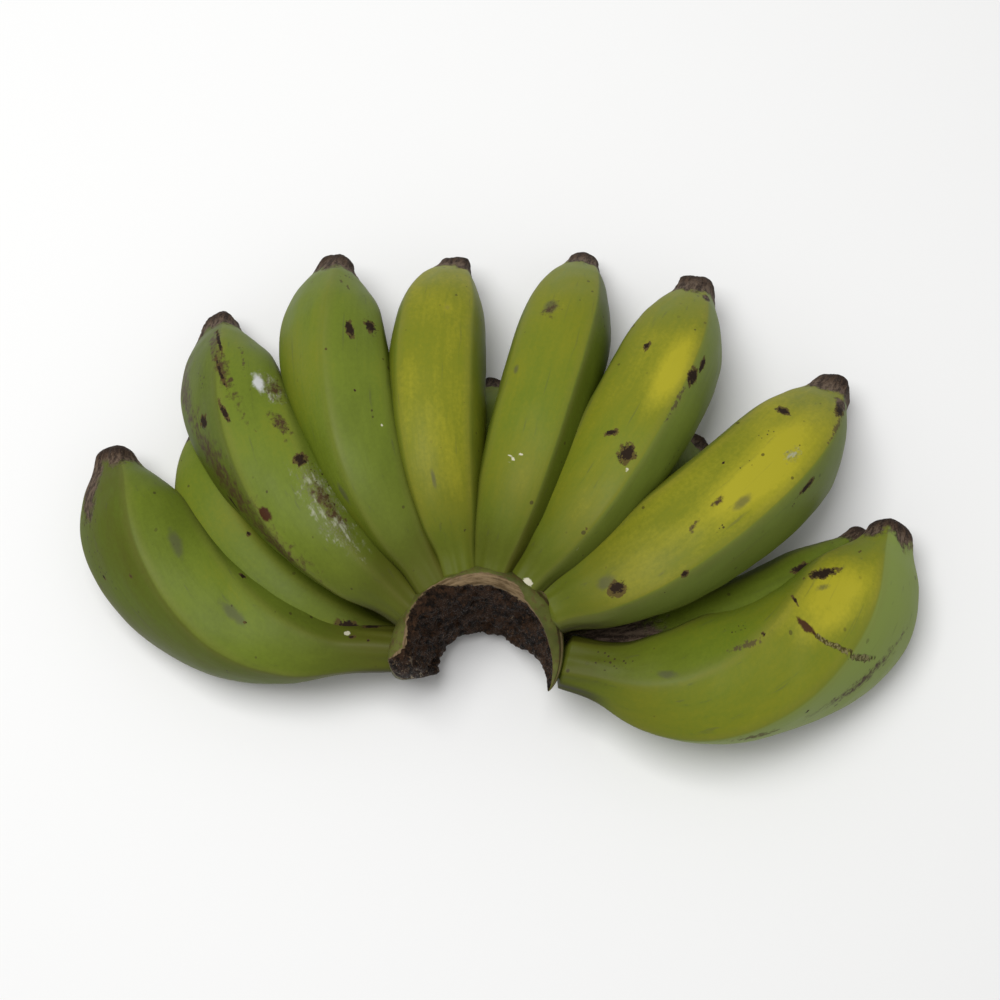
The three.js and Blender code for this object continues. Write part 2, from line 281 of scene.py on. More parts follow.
def make_piece(name, points, quads, triangles, attributes, material):
    """A mesh object from points in millimetres, its faces and its per-point attributes."""
    mesh = bpy.data.meshes.new(name)
    mesh.vertices.add(len(points))
    mesh.vertices.foreach_set("co", (points * MM).astype(np.float32).ravel())
    corners = np.concatenate([quads.ravel(), triangles.ravel()])
    mesh.loops.add(len(corners))
    mesh.loops.foreach_set("vertex_index", corners.astype(np.int32))
    sizes = np.concatenate([np.full(len(quads), 4), np.full(len(triangles), 3)])
    mesh.polygons.add(len(sizes))
    mesh.polygons.foreach_set("loop_start", np.concatenate([[0], np.cumsum(sizes)[:-1]]).astype(np.int32))
    mesh.polygons.foreach_set("use_smooth", np.ones(len(sizes), bool))
    mesh.update(calc_edges=True)
    mesh.validate()
    for key, values in attributes.items():
        if values.ndim == 1:
            layer = mesh.attributes.new(key, "FLOAT", "POINT")
            layer.data.foreach_set("value", values.astype(np.float32))
        else:
            layer = mesh.attributes.new(key, "FLOAT_VECTOR", "POINT")
            layer.data.foreach_set("vector", values.astype(np.float32).ravel())
    mesh.materials.append(material)
    piece = bpy.data.objects.new(name, mesh)
    bpy.context.scene.collection.objects.link(piece)
    return piece


def face_blend(ridge_angle, values):
    """One value for each face between two ridges, blended softly over the ridges: each face's weight is the
    cosine of the angle to its middle, to a high power."""
    facing = np.maximum(np.cos(ridge_angle[..., None] - FACE_MIDDLES), 0.02) / np.cos(FACE_HALVES)
    weights = facing**FACE_SHARPNESS
    weights /= weights.sum(-1, keepdims=True)
    right_side, back, left_side, left_belly, right_belly = range(5)
    order = np.empty(5)
    order[[back, left_side, left_belly, right_belly, right_side]] = values
    return (weights * order).sum(-1)


def ridged_radius(ridge_angle):
    """Radius factor of the five-sided section: a soft maximum of the distances to its flat sides, mixed with a
    circle. Also gives how close a point is to a ridge, from 0 to 1."""
    facing = np.maximum(np.cos(ridge_angle[..., None] - FACE_MIDDLES), 0) / np.cos(FACE_HALVES)
    faceted = (facing**RIDGE_SHARPNESS).sum(-1) ** (1 / RIDGE_SHARPNESS)
    off = (ridge_angle[..., None] - np.radians(RIDGES) + np.pi) % (2 * np.pi) - np.pi
    nearness = 1 - np.clip(np.abs(off).min(-1) / np.radians(RIDGE_SPREAD), 0, 1)
    return 1 / (1 - RIDGE_STRENGTH + RIDGE_STRENGTH * faceted), nearness


def mark_fields(marks, share, angle, radius, length):
    """For each kind of mark, 1 at the middle of the nearest mark, 0 on its edge and -1 well outside it. A mark
    is an ellipse, measured along and across the skin, and turned by its tilt."""
    fields = {kind: np.full(share.shape, -1.0) for kind in MARK_KINDS}
    for kind, mark_share, mark_angle, mark_length, mark_width, tilt in marks:
        along = (share - mark_share) * length
        across = ((angle - mark_angle + 180) % 360 - 180) * np.pi / 180 * radius
        t = np.radians(tilt)
        u = (along * np.cos(t) + across * np.sin(t)) / (mark_length / 2)
        v = (across * np.cos(t) - along * np.sin(t)) / (mark_width / 2)
        fields[kind] = np.maximum(fields[kind], np.clip(1 - np.hypot(u, v), -1, 1))
    return fields


def chance_marks(rng, upper):
    """Small blemishes at random places: only on the underside of an upper finger, all round a lower one."""
    marks = []
    for _ in range(CHANCE_MARKS):
        share = rng.uniform(0.14, 0.86)
        angle = rng.uniform(100, 260) if upper else rng.uniform(-180, 180)
        size = rng.uniform(1.4, 6.0)
        kind = rng.choice(["scab", "speck", "bruise", "rough", "scab"])
        stretch = rng.uniform(1.0, 2.4)
        marks.append((kind, share, angle, size * stretch, size, rng.uniform(-20, 20)))
    return marks


def with_ends(fields):
    """Each field as a plain list, with the mean of its first and of its last row for the two end points."""
    return {
        key: np.append(values.ravel(), [values[0].mean(), values[-1].mean()]) for key, values in fields.items()
    }


def finger_surface(look, seed, upper):
    """A banana. Rows run from the root to the tip and columns round it. The middle line runs straight out of
    the crown and then turns at an even rate. Round it the section is a five-sided oval, whose half width and
    half depth follow THICKNESS. Low lumps, lengthwise neck folds and a crumpled tip are added to the radius.
    Where it lies on the table it is pressed flat."""
    rng = np.random.default_rng(seed)
    profile = spline_table(THICKNESS, PROFILE_STEPS)
    ease = np.linspace(0, 1, ROWS_ALONG)
    share = ease + ROW_SWING * np.sin(2 * np.pi * ease) / (2 * np.pi)
    share = share - ROW_SECOND_SWING * np.sin(4 * np.pi * ease) / np.pi
    share = np.clip(FIRST_SHARE + (1 - FIRST_SHARE) * share, 0, 1)[:, None]
    ridge_angle = np.linspace(0, 2 * np.pi, COLUMNS_AROUND, endpoint=False)[None, :]
    ridge_angle = ridge_angle + 0 * share
    share = share + 0 * ridge_angle
    angle = ridge_angle + np.radians(look["twist"] + look["spiral"] * (share - 0.5))
    station = share ** look["neck"]
    half_width = np.interp(station, profile[:, 0], profile[:, 1]) * look["width"] / 2
    half_depth = np.interp(station, profile[:, 0], profile[:, 2]) * look["depth"] / 2
    factor, ridge = ridged_radius(ridge_angle)

    straight = np.stack([
        np.cos(ridge_angle) * half_width,
        np.sin(ridge_angle) * half_width,
        share * look["length"],
    ], axis=-1)
    lumps = LUMPS[0] * lattice_noise(straight, LUMPS[1], seed + 1)
    lumps += SMALL_LUMPS[0] * lattice_noise(straight, SMALL_LUMPS[1], seed + 2)
    sway = 1.2 * lattice_noise(straight * [1, 1, 0.2], 9.0, seed + 3)
    folds = NECK_FOLD_HEIGHT * np.sin(ridge_angle * NECK_FOLD_COUNT + sway) * smooth_step(0.2 - share, 0, 0.14)
    crumple = CRUMPLE[0] * lattice_noise(straight * [1, 1, 0.35], CRUMPLE[1], seed + 4)
    crumple += FINE_CRUMPLE[0] * lattice_noise(straight, FINE_CRUMPLE[1], seed + 5)
    crumple = crumple * smooth_step(share, look["cap"] - 0.01, look["cap"] + 0.05)
    stub = STUB_HEIGHT * np.cos(ridge_angle * 3 + seed) * smooth_step(share, 0.955, 0.99)
    into_dome = np.clip((share - DOME_FROM) / (1 - DOME_FROM), 0, 1)
    domed = np.sqrt(np.clip(1 - DOME_DROP * into_dome**DOME_POWER, 0, 1))
    extra = (lumps + folds + crumple + stub) * domed
    factor = factor * domed
    up = np.cos(angle) * (factor * half_depth + extra)
    side = np.sin(angle) * (factor * half_width + extra)

    steps = np.linspace(0, 1, LINE_STEPS + 1)
    turned = np.radians(look["bend"]) * np.clip((steps - NECK_SHARE) / (TIP_SHARE - NECK_SHARE), 0, 1)
    middle_turn = (turned[1:] + turned[:-1]) / 2
    stride = look["length"] / LINE_STEPS
    line_x = np.concatenate([[0], np.cumsum(np.cos(middle_turn)) * stride])
    line_z = np.concatenate([[0], np.cumsum(-np.sin(middle_turn)) * stride])
    bend = np.interp(share, steps, turned)
    points = np.stack([
        np.interp(share, steps, line_x) + up * np.sin(bend),
        side,
        np.interp(share, steps, line_z) + up * np.cos(bend),
    ], axis=-1)
    last_bend = bend[-1, 0]
    ends = np.array([
        [0, 0, 0],
        [line_x[-1] - STUB_SINK * np.cos(last_bend), 0, line_z[-1] + STUB_SINK * np.sin(last_bend)],
    ])
    points = np.concatenate([points.reshape(-1, 3), ends])
    at = np.radians(look["at"])
    root = [CROWN_AT[0] + FINGER_REACH * np.cos(at), CROWN_AT[1] + FINGER_REACH * np.sin(at), look["z"]]
    points = points @ turn_matrix(look["heading"], look["rise"], look["lean"]).T + root
    points[:, 2] = np.maximum(points[:, 2], 0)

    upright_angle = np.degrees(angle) - look["lean"]
    radius = (half_width + half_depth) / 2
    marks = list(look["marks"]) + chance_marks(rng, upper)
    fields = mark_fields(marks, share, upright_angle, radius, look["length"])
    ripe = face_blend(ridge_angle, look["ripe"]) + 0.12 * lattice_noise(straight, 30.0, seed + 6)
    ripe = ripe - 0.5 * smooth_step(0.24 - share, 0, 0.2)
    rim = 0.02 * lattice_noise(straight * [1, 1, 0], 6.0, seed + 7)
    sideways = np.abs(np.sin(np.radians(upright_angle)))
    attributes = {
        "ripe": ripe + 0.62 * smooth_step(fields["sun"], -0.3, 1.0),
        "pale": face_blend(ridge_angle, look["pale"]),
        "ridge": ridge,
        # Painted shade: darker on the sides of the neck near the root, where the necks crowd together.
        "painted_cleft_shade": smooth_step(sideways, 0.8, 1.0) * smooth_step(0.17 - share, 0, 0.09),
        "share": share,
        "cap": np.clip(np.maximum((share - look["cap"] - rim) / 0.05, fields["dry"]), -1, 1),
        "cap_end": np.clip((share - look["cap"]) / (1 - look["cap"]), 0, 1),
    }
    attributes.update({kind: fields[kind] for kind in MARK_KINDS if kind not in ("sun", "dry")})
    flat = with_ends(attributes)
    flow = straight.reshape(-1, 3) * MM
    flat["flow"] = np.concatenate([flow, [[0, 0, 0], [0, 0, look["length"] * MM]]])
    return points, flat


# ---------------------------------------------------------------- the crown

CROWN_FIRST_ANGLE, CROWN_LAST_ANGLE = -23.0, 188.0
CROWN_TOP, CROWN_BOTTOM, CROWN_FALL, CROWN_RISE = 60.0, 8.0, 12.0, 8.0
CROWN_ROWS, CROWN_COLUMNS = 340, 170
CROWN_CORE, CROWN_SEED = 27.0, 71
POINT_RUN, STUMP_RUN = 0.3, 0.05

# One slice of the crown, clockwise from the foot of its outer wall: radius, share of the height, and the way
# in from the outer edge of the rim, which is below 0 on the outer wall and grows over the rim and down the cut.
CROWN_SLICE = np.array([
    [33.0, 0.0, -40.0],
    [34.4, 0.1, -35.0],
    [34.6, 0.6, -14.0],
    [34.2, 0.86, -5.0],
    [32.6, 0.96, -2.2],
    [30.4, 1.0, 0.4],
    [28.0, 0.995, 2.8],
    [26.0, 0.96, 5.2],
    [24.6, 0.86, 10.0],
    [22.2, 0.6, 22.0],
    [19.6, 0.3, 36.0],
    [17.4, 0.06, 47.0],
    [19.5, 0.0, 50.0],
    [29.0, 0.0, 56.0],
])

# Round the arc: angle, how far in from the rim's outer edge the green skin reaches, and how far in the tan cut
# through it reaches. Everything further in is torn and dark.
CROWN_BANDS = np.array([
    [-24, 1.0, 1.8],
    [-10, 4.6, 5.4],
    [15, 5.9, 6.7],
    [35, 5.4, 6.2],
    [50, 4.2, 5.6],
    [62, 1.2, 5.6],
    [75, 0.3, 5.8],
    [90, 0.2, 5.2],
    [105, 0.2, 4.6],
    [115, -0.6, 2.4],
    [125, -1.2, -0.6],
    [150, -1.2, -0.6],
    [158, 0.6, 1.6],
    [172, 1.4, 2.8],
    [178, -3.0, -1.0],
    [184, -20.0, -16.0],
    [190, -45.0, -44.0],
])


def closed_spline(points, count):
    """Points at even steps along a closed Catmull-Rom curve through the given points. A step is measured on the
    first two columns: a radius in millimetres, and a share of the height, which counts as 50 of them."""
    per_span, height = 40, 50.0
    padded = np.concatenate([points[-2:], points, points[:2]])
    table = spline_table(padded, per_span * (len(padded) - 1) + 1)
    loop = table[2 * per_span:-per_span - 1]
    step = np.hypot(*(np.roll(loop, -1, axis=0) - loop)[:, :2].T * np.array([[1.0], [height]]))
    travelled = np.concatenate([[0], np.cumsum(step)])
    loop = np.concatenate([loop, loop[:1]])
    wanted = np.linspace(0, travelled[-1], count, endpoint=False)
    return np.stack([np.interp(wanted, travelled, loop[:, i]) for i in range(loop.shape[1])], axis=1)


def crown_surface():
    """The C-shaped crown: one closed slice swept round the arc, drawn out to a point at one end and to a blunt
    stump at the other. Its torn side is moved in and out by fibres that hang down it."""
    seed = CROWN_SEED
    slice_points = closed_spline(CROWN_SLICE, CROWN_COLUMNS)
    run = np.linspace(0, 1, CROWN_ROWS)[:, None]
    to_point = np.clip(run / POINT_RUN, 0, 1)
    to_stump = np.clip((1 - run) / STUMP_RUN, 0, 1)
    pointed = 0.02 + 0.98 * to_point**0.85
    stump = np.sqrt(np.clip(1 - (1 - to_stump) ** 2, 0.0004, 1))
    angle = np.radians(CROWN_FIRST_ANGLE + (CROWN_LAST_ANGLE - CROWN_FIRST_ANGLE) * run)
    inward = slice_points[None, :, 2] + 0 * run
    bands = [np.interp(np.degrees(angle), CROWN_BANDS[:, 0], CROWN_BANDS[:, i]) for i in (1, 2)]
    torn = smooth_step(inward - bands[1], -0.5, 2.5)
    radius = CROWN_CORE + (slice_points[None, :, 0] - CROWN_CORE) * pointed * stump
    share = slice_points[None, :, 1]
    middle_share = 0.5 + 0.4 * (1 - to_point) ** 2
    share = middle_share + (share - middle_share) * pointed * (0.3 + 0.7 * stump)
    sideways = 1 - np.sin(angle)
    bottom = CROWN_BOTTOM + CROWN_RISE * sideways
    top = CROWN_TOP - CROWN_FALL * sideways
    height = bottom + (top - bottom) * share
    across = np.stack([np.cos(angle) * radius, np.sin(angle) * radius, height], axis=-1)
    hanging = across * [1, 1, 0.35]
    tear = 1.3 * lattice_noise(across, 5.5, seed) + 1.2 * lattice_noise(hanging, 3.0, seed + 1)
    tear = tear + 0.9 * np.abs(lattice_noise(hanging, 1.5, seed + 2))
    skin_lumps = 0.35 * lattice_noise(across, 9.0, seed + 3)
    lip = 0.5 * np.exp(-((inward - bands[1]) / 1.2) ** 2)
    taper = np.minimum(pointed, stump)
    radius = radius + (torn * tear + (1 - torn) * skin_lumps) * taper
    height = height + (torn * 1.2 * lattice_noise(across, 2.2, seed + 4) + lip) * taper
    points = np.stack([np.cos(angle) * radius, np.sin(angle) * radius, height], axis=-1)
    ends = np.stack([points[0].mean(0), points[-1].mean(0)])
    points = np.concatenate([points.reshape(-1, 3), ends]) + [*CROWN_AT, 0]
    on_right = smooth_step(np.cos(angle), 0.45, 0.8)
    fields = {
        "past_skin": inward - bands[0],
        "past_rim": inward - bands[1],
        "scar_line": np.clip(1 - np.abs(inward + 1.1) / 0.75, -1, 1) * on_right,
        "pale_line": np.clip(1 - np.abs(inward + 2.7) / 0.8, -1, 1) * on_right,
        "frayed": smooth_step(np.degrees(angle) + 0 * inward, 170, 192),
    }
    flat = with_ends(fields)
    flat["flow"] = points * MM
    sweep = np.stack([inward, 0 * inward, FINGER_REACH * angle + 0 * inward], axis=-1).reshape(-1, 3)
    flat["sweep"] = np.concatenate([sweep, sweep[[0, -1]]]) * MM
    return points, flat


# ---------------------------------------------------------------- materials

FLOAT, VECTOR = "NodeSocketFloat", "NodeSocketVector"


def node(tree, kind, inputs=None, **settings):
    """A new node with its settings, and with its inputs linked from sockets or set to plain values."""
    made = tree.nodes.new(kind)
    for key, value in settings.items():
        setattr(made, key, value)
    for key, value in (inputs or {}).items():
        if isinstance(value, bpy.types.NodeSocket):
            tree.links.new(value, made.inputs[key])
        else:
            made.inputs[key].default_value = value
    return made


def calculate(tree, operation, first, second, third=0.0):
    """The result of one sum on two or three values."""
    return node(tree, "ShaderNodeMath", {0: first, 1: second, 2: third}, operation=operation).outputs[0]


def times(tree, first, second):
    """Two values multiplied."""
    return calculate(tree, "MULTIPLY", first, second)


def plus(tree, total, value, amount):
    """A total with an amount of a value added to it."""
    return calculate(tree, "ADD", total, times(tree, value, amount))


def eased(tree, value, low, high, to_low=0.0, to_high=1.0):
    """The value eased from one range to another."""
    inputs = {0: value, 1: low, 2: high, 3: to_low, 4: to_high}
    return node(tree, "ShaderNodeMapRange", inputs, interpolation_type="SMOOTHSTEP").outputs[0]


def mixed(tree, share, first, second):
    """Two colours mixed by a share."""
    colours = [value if isinstance(value, bpy.types.NodeSocket) else (*value, 1) for value in (first, second)]
    return node(tree, "ShaderNodeMix", {0: share, 6: colours[0], 7: colours[1]}, data_type="RGBA").outputs[2]


def covered(tree, under, over, mask, strength=1.0):
    """A colour covered by another where the mask is 1, as strongly as the strength says."""
    return mixed(tree, mask if strength == 1.0 else times(tree, mask, strength), under, over)


def between(tree, share, first, second):
    """Two numbers mixed by a share."""
    return node(tree, "ShaderNodeMix", {0: share, 2: first, 3: second}).outputs[0]


def noise(tree, place, scale, detail, roughness, stretch=None):
    """Noise from 0 to 1 at a scale per metre, with the place stretched first."""
    if stretch:
        place = node(tree, "ShaderNodeMapping", {"Vector": place, "Scale": stretch}).outputs[0]
    inputs = {"Vector": place, "Scale": scale, "Detail": detail, "Roughness": roughness}
    return node(tree, "ShaderNodeTexNoise", inputs).outputs[0]


def attribute(tree, name, output="Fac"):
    """A value that the mesh carries, as a number or as a vector."""
    return node(tree, "ShaderNodeAttribute", attribute_name=name).outputs[output]


def colour_ramp(tree, level, stops):
    """Colours at given levels, blended in between."""
    ramp = node(tree, "ShaderNodeValToRGB", {0: level})
    elements = ramp.color_ramp.elements
    for i, (position, colour) in enumerate((stops[0], stops[-1])):
        elements[i].position, elements[i].color = position, (*colour, 1)
    for position, colour in stops[1:-1]:
        elements.new(position).color = (*colour, 1)
    return ramp.outputs[0]


def new_group(name, inputs, outputs):
    """An empty node group with named input and output sockets."""
    tree = bpy.data.node_groups.new(name, "ShaderNodeTree")
    for key, kind in inputs.items():
        tree.interface.new_socket(key, in_out="INPUT", socket_type=kind)
    for key, kind in outputs.items():
        tree.interface.new_socket(key, in_out="OUTPUT", socket_type=kind)
    return tree, tree.nodes.new("NodeGroupInput").outputs, tree.nodes.new("NodeGroupOutput")


def ragged_edge_group():
    """Turns a field, which is above 0 inside a mark, into a mask with a ragged edge."""
    tree, given, out = new_group(
        "ragged edge",
        {"Field": FLOAT, "Place": VECTOR, "Grain": FLOAT, "Raggedness": FLOAT, "Softness": FLOAT},
        {"Mask": FLOAT},
    )
    grain = noise(tree, given["Place"], given["Grain"], 4.0, 0.62)
    wander = calculate(tree, "SUBTRACT", grain, 0.5)
    edge = plus(tree, given["Field"], wander, given["Raggedness"])
    tree.links.new(eased(tree, edge, 0.0, given["Softness"]), out.inputs["Mask"])
    return tree


LEAST_DOT, DOT_SPREAD, DOT_EDGE = 0.08, 0.36, 0.09


def dots_group():
    """Small round dots at random places, all the closer together the higher the field is."""
    tree, given, out = new_group(
        "scattered dots", {"Field": FLOAT, "Place": VECTOR, "Grain": FLOAT}, {"Mask": FLOAT},
    )
    cells = node(tree, "ShaderNodeTexVoronoi", {"Vector": given["Place"], "Scale": given["Grain"]})
    chance = node(tree, "ShaderNodeSeparateColor", {0: cells.outputs["Color"]})
    size = plus(tree, LEAST_DOT, chance.outputs[1], DOT_SPREAD)
    round_dot = eased(tree, calculate(tree, "SUBTRACT", size, cells.outputs["Distance"]), 0.0, DOT_EDGE)
    kept = eased(tree, calculate(tree, "ADD", given["Field"], chance.outputs[0]), 0.98, 1.02)
    tree.links.new(times(tree, round_dot, kept), out.inputs["Mask"])
    return tree


def fibres_group():
    """Long fibres that run along the third direction of the place: high on a fibre, and low in the gaps."""
    tree, given, out = new_group("dry fibres", {"Place": VECTOR, "Grain": FLOAT}, {"Fibres": FLOAT})
    strands = noise(tree, given["Place"], given["Grain"], 5.0, 0.65, (1, 1, 0.16))
    tree.links.new(strands, out.inputs["Fibres"])
    return tree


def mottle_group():
    """Slow patches, fine lengthwise streaks and pores of a banana skin."""
    tree, given, out = new_group(
        "skin mottle", {"Place": VECTOR}, {"Patches": FLOAT, "Streaks": FLOAT, "Pores": FLOAT},
    )
    patches = noise(tree, given["Place"], 55.0, 3.0, 0.55, (1, 1, 0.45))
    streaks = noise(tree, given["Place"], 420.0, 3.0, 0.6, (1, 1, 0.05))
    pores = noise(tree, given["Place"], 1500.0, 2.0, 0.6)
    for key, value in (("Patches", patches), ("Streaks", streaks), ("Pores", pores)):
        tree.links.new(value, out.inputs[key])
    return tree


def grouped(tree, group, **inputs):
    """The outputs of a node group, placed with its own values."""
    return node(tree, "ShaderNodeGroup", inputs, node_tree=group).outputs


def ragged(tree, groups, field, place, grain, raggedness, softness):
    """The ragged mask of a field."""
    return grouped(
        tree, groups["edge"], Field=field, Place=place, Grain=grain, Raggedness=raggedness, Softness=softness,
    )["Mask"]


def new_material(name):
    """An empty material, its nodes and its shader."""
    material = bpy.data.materials.new(name)
    material.use_nodes = True
    tree = material.node_tree
    return material, tree, tree.nodes["Principled BSDF"]


def finish_shader(tree, shader, colour, roughness, specular, relief, bump_height, bump_strength):
    """Feeds the shader its colour, its roughness, its specular level and its relief."""
    tree.links.new(colour, shader.inputs["Base Color"])
    tree.links.new(roughness, shader.inputs["Roughness"])
    shader.inputs["Specular IOR Level"].default_value = specular
    bump = node(tree, "ShaderNodeBump", {"Height": relief, "Distance": bump_height, "Strength": bump_strength})
    tree.links.new(bump.outputs[0], shader.inputs["Normal"])


GREEN_OLIVE = (0.074, 0.076, 0.007)
GREEN_DEEP = (0.086, 0.116, 0.009)
GREEN_MID = (0.128, 0.171, 0.013)
YELLOW_GREEN = (0.188, 0.200, 0.012)
YELLOW = (0.370, 0.335, 0.020)
GREEN_PALE = (0.210, 0.270, 0.062)
# Painted shade for the gaps between the necks near the crown.
PAINTED_CLEFT_SHADE_COLOUR = (0.022, 0.018, 0.006)
BRUISE = (0.075, 0.075, 0.040)
SPECK_BROWN = (0.040, 0.024, 0.010)
SCAB_BLACK = (0.020, 0.011, 0.006)
SCAB_EDGE = (0.085, 0.055, 0.018)
RIDGE_WEAR = (0.175, 0.160, 0.045)
RED_BROWN = (0.045, 0.009, 0.004)
SILVER = (0.370, 0.375, 0.280)
SCUFF_BROWN = (0.150, 0.150, 0.080)
RUST = (0.062, 0.036, 0.016)
CORK = (0.200, 0.165, 0.080)
CREAM = (0.560, 0.530, 0.400)
# Near-white painted highlight for the glossy patch on upper finger 2.
PAINTED_HIGHLIGHT_WHITE = (0.620, 0.620, 0.640)
DRY_BROWN = (0.078, 0.048, 0.030)
DRY_DARK = (0.020, 0.012, 0.009)
DRY_ASH = (0.165, 0.120, 0.085)

# From the least ripe peel to the ripest.
RIPENING = [(0.12, GREEN_OLIVE), (0.32, GREEN_DEEP), (0.5, GREEN_MID), (0.68, YELLOW_GREEN), (0.92, YELLOW)]

# The edge of each mark: the scale of its raggedness per metre, how ragged it is and how soft.
MARK_EDGES = {
    "bruise": (300.0, 0.8, 0.7),
    "ring": (400.0, 0.8, 0.9),
    "scuff": (420.0, 2.4, 0.7),
    "rust": (380.0, 3.0, 0.8),
    "rough": (700.0, 4.0, 0.6),
    "cork": (500.0, 2.0, 0.3),
    "red": (500.0, 0.9, 0.35),
    "scab": (380.0, 2.2, 0.25),
    "sap": (900.0, 0.9, 0.3),
    "gloss_with_painted_highlight": (300.0, 1.4, 0.6),
}
SCAB_EDGE_WIDTH = 0.22
STRAY_DOTS = 0.02


def peel_material(groups):
    """Waxy green cooking banana skin with its ripening, its marks and its dried tip."""
    material, tree, shader = new_material("green banana peel")
    place = attribute(tree, "flow", "Vector")
    mottle = grouped(tree, groups["mottle"], Place=place)
    patches, streaks, pores = mottle["Patches"], mottle["Streaks"], mottle["Pores"]

    ripe = attribute(tree, "ripe")
    grain = noise(tree, place, 650.0, 2.0, 0.6)
    for value, amount in ((patches, 0.7), (streaks, 0.24), (grain, 0.3)):
        ripe = plus(tree, ripe, calculate(tree, "SUBTRACT", value, 0.5), amount)
    colour = colour_ramp(tree, calculate(tree, "MULTIPLY_ADD", ripe, 0.5, 0.5), RIPENING)
    colour = covered(tree, colour, GREEN_PALE, attribute(tree, "pale"))
    wear = times(tree, eased(tree, attribute(tree, "ridge"), 0.45, 1.0), streaks)
    colour = covered(tree, colour, RIDGE_WEAR, wear, 0.4)
    colour = covered(tree, colour, BRUISE, eased(tree, streaks, 0.36, 0.28, 0.0, 0.3))
    colour = covered(tree, colour, GREEN_OLIVE, eased(tree, attribute(tree, "share"), 0.4, 0.04, 0.0, 0.55))
    # Painted shade in the gaps between the necks near the root.
    painted_cleft_shade = times(tree, attribute(tree, "painted_cleft_shade"), eased(tree, streaks, 0.3, 0.6, 0.5, 0.85))
    colour = covered(tree, colour, PAINTED_CLEFT_SHADE_COLOUR, painted_cleft_shade)

    mask = {
        kind: ragged(tree, groups, attribute(tree, kind), place, *edge) for kind, edge in MARK_EDGES.items()
    }
    colour = covered(tree, colour, BRUISE, mask["bruise"], 0.65)
    colour = covered(tree, colour, YELLOW, mask["ring"], 0.45)
    scuffed = times(tree, mask["scuff"], eased(tree, pores, 0.36, 0.6, 0.75, 0.1))
    colour = covered(tree, colour, SCUFF_BROWN, scuffed)
    drawn_flecks = noise(tree, place, 420.0, 3.0, 0.65, (1, 1, 0.35))
    flecks = times(tree, mask["scuff"], eased(tree, drawn_flecks, 0.48, 0.62))
    colour = covered(tree, colour, SILVER, flecks, 0.65)
    russet = eased(tree, noise(tree, place, 520.0, 4.0, 0.7), 0.36, 0.56, 0.3, 1.0)
    colour = covered(tree, colour, RUST, times(tree, mask["rust"], russet))
    stray = grouped(tree, groups["dots"], Field=STRAY_DOTS, Place=place, Grain=420.0)["Mask"]
    colour = covered(tree, colour, SPECK_BROWN, stray, 0.7)
    specks = grouped(tree, groups["dots"], Field=attribute(tree, "speck"), Place=place, Grain=900.0)["Mask"]
    colour = covered(tree, colour, SPECK_BROWN, specks, 0.85)
    rough = times(tree, mask["rough"], 0.75)
    colour = covered(tree, colour, DRY_BROWN, rough)
    crumbs = noise(tree, place, 800.0, 3.0, 0.7)
    corky = mixed(tree, eased(tree, crumbs, 0.46, 0.56), SPECK_BROWN, CORK)
    colour = covered(tree, colour, corky, mask["cork"], 0.85)
    colour = covered(tree, colour, RED_BROWN, mask["red"], 0.95)
    colour = covered(tree, colour, SCAB_EDGE, mask["scab"], 0.9)
    inside = calculate(tree, "SUBTRACT", attribute(tree, "scab"), SCAB_EDGE_WIDTH)
    colour = covered(tree, colour, SCAB_BLACK, ragged(tree, groups, inside, place, 700.0, 2.0, 0.25))
    colour = covered(tree, colour, CREAM, mask["sap"])
    # Painted highlight: the glossy patch is coloured near-white. Its low roughness further down is real gloss.
    colour = covered(tree, colour, PAINTED_HIGHLIGHT_WHITE, mask["gloss_with_painted_highlight"], 0.85)

    dry = ragged(tree, groups, attribute(tree, "cap"), place, 350.0, 1.2, 0.45)
    fibres = grouped(tree, groups["fibres"], Place=place, Grain=600.0)["Fibres"]
    cap_end = attribute(tree, "cap_end")
    dried = mixed(tree, eased(tree, fibres, 0.35, 0.62), DRY_DARK, DRY_BROWN)
    dried = covered(tree, dried, DRY_ASH, eased(tree, pores, 0.5, 0.7, 0.0, 0.5))
    ashen = times(tree, eased(tree, cap_end, 0.6, 0.3), eased(tree, fibres, 0.42, 0.62, 0.1, 0.8))
    dried = covered(tree, dried, DRY_ASH, ashen)
    dried = covered(tree, dried, DRY_DARK, eased(tree, cap_end, 0.55, 0.8, 0.0, 0.65))
    colour = covered(tree, colour, dried, dry)

    dull = mask["scab"]
    for other in (rough, mask["cork"], dry):
        dull = calculate(tree, "MAXIMUM", dull, other)
    roughness = between(tree, dull, eased(tree, patches, 0.3, 0.7, 0.44, 0.54), 0.8)
    roughness = between(tree, mask["gloss_with_painted_highlight"], roughness, 0.18)

    relief = times(tree, streaks, 0.16)
    relief = plus(tree, relief, pores, 0.05)
    relief = plus(tree, relief, mask["scab"], 0.12)
    relief = plus(tree, relief, times(tree, mask["cork"], crumbs), 0.8)
    relief = plus(tree, relief, times(tree, dry, fibres), 2.0)
    relief = plus(tree, relief, specks, -0.1)
    finish_shader(tree, shader, colour, roughness, 0.13, relief, 0.0006, 0.8)
    return material


CROWN_SKIN = (0.105, 0.115, 0.022)
CROWN_SKIN_DARK = (0.060, 0.066, 0.014)
CROWN_TAN = (0.215, 0.150, 0.080)
CROWN_TAN_DARK = (0.085, 0.055, 0.025)
CROWN_BROWN = (0.040, 0.020, 0.010)
CROWN_BLACK = (0.006, 0.0035, 0.002)
CROWN_RUST = (0.085, 0.042, 0.020)
CROWN_STRAW = (0.260, 0.215, 0.140)

# The edge of each band of the crown, given as for the marks.
BAND_EDGES = {
    "pale_line": (500.0, 1.4, 0.5),
    "scar_line": (500.0, 1.4, 0.4),
    "past_skin": (450.0, 2.2, 0.6),
    "past_rim": (350.0, 4.0, 0.7),
}


